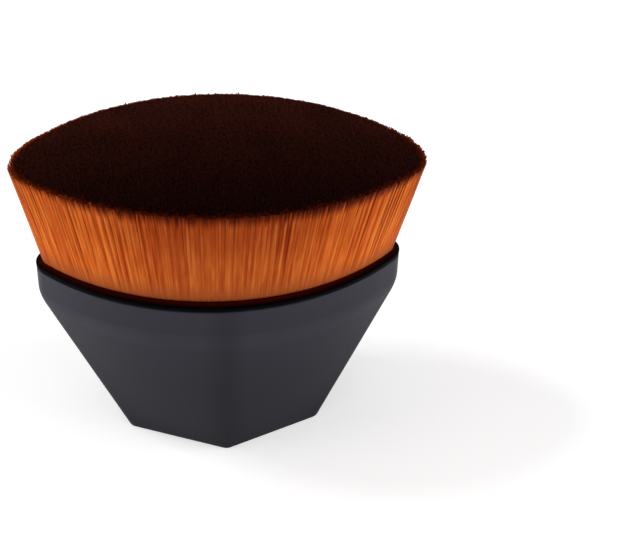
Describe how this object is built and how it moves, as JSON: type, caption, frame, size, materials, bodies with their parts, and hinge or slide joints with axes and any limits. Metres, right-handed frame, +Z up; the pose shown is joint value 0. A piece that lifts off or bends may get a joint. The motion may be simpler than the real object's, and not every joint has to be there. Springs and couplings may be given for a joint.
{
  "type": "foundation brush",
  "caption": "Short-handled foundation brush: dense flat-topped petal-shaped bristle head potted in a flanged cup, on a hollow handle that tapers to a six-sided flat foot.",
  "frame": {"origin": "middle of the flat foot, on the surface that the brush stands on", "axes": "+Z up through the bristle head, +X along the petal-shaped head, Y across it"},
  "size_m": [0.0602, 0.035, 0.0464],
  "materials": {
    "handle_plastic": "satin soft-touch charcoal",
    "cup_plastic": "gloss black",
    "bristle_fibre": "straight synthetic fibre, copper with dark brown tips",
    "potting_resin": "clear amber cast resin",
    "set_adhesive": "cloudy set adhesive"
  },
  "bodies": {
    "root": {"handle_shell": "handle_plastic", "bristle_cup": "cup_plastic", "bristle_tuft": "bristle_fibre", "resin_bed": "potting_resin", "glue_bead": "set_adhesive"}
  },
  "joints": []
}
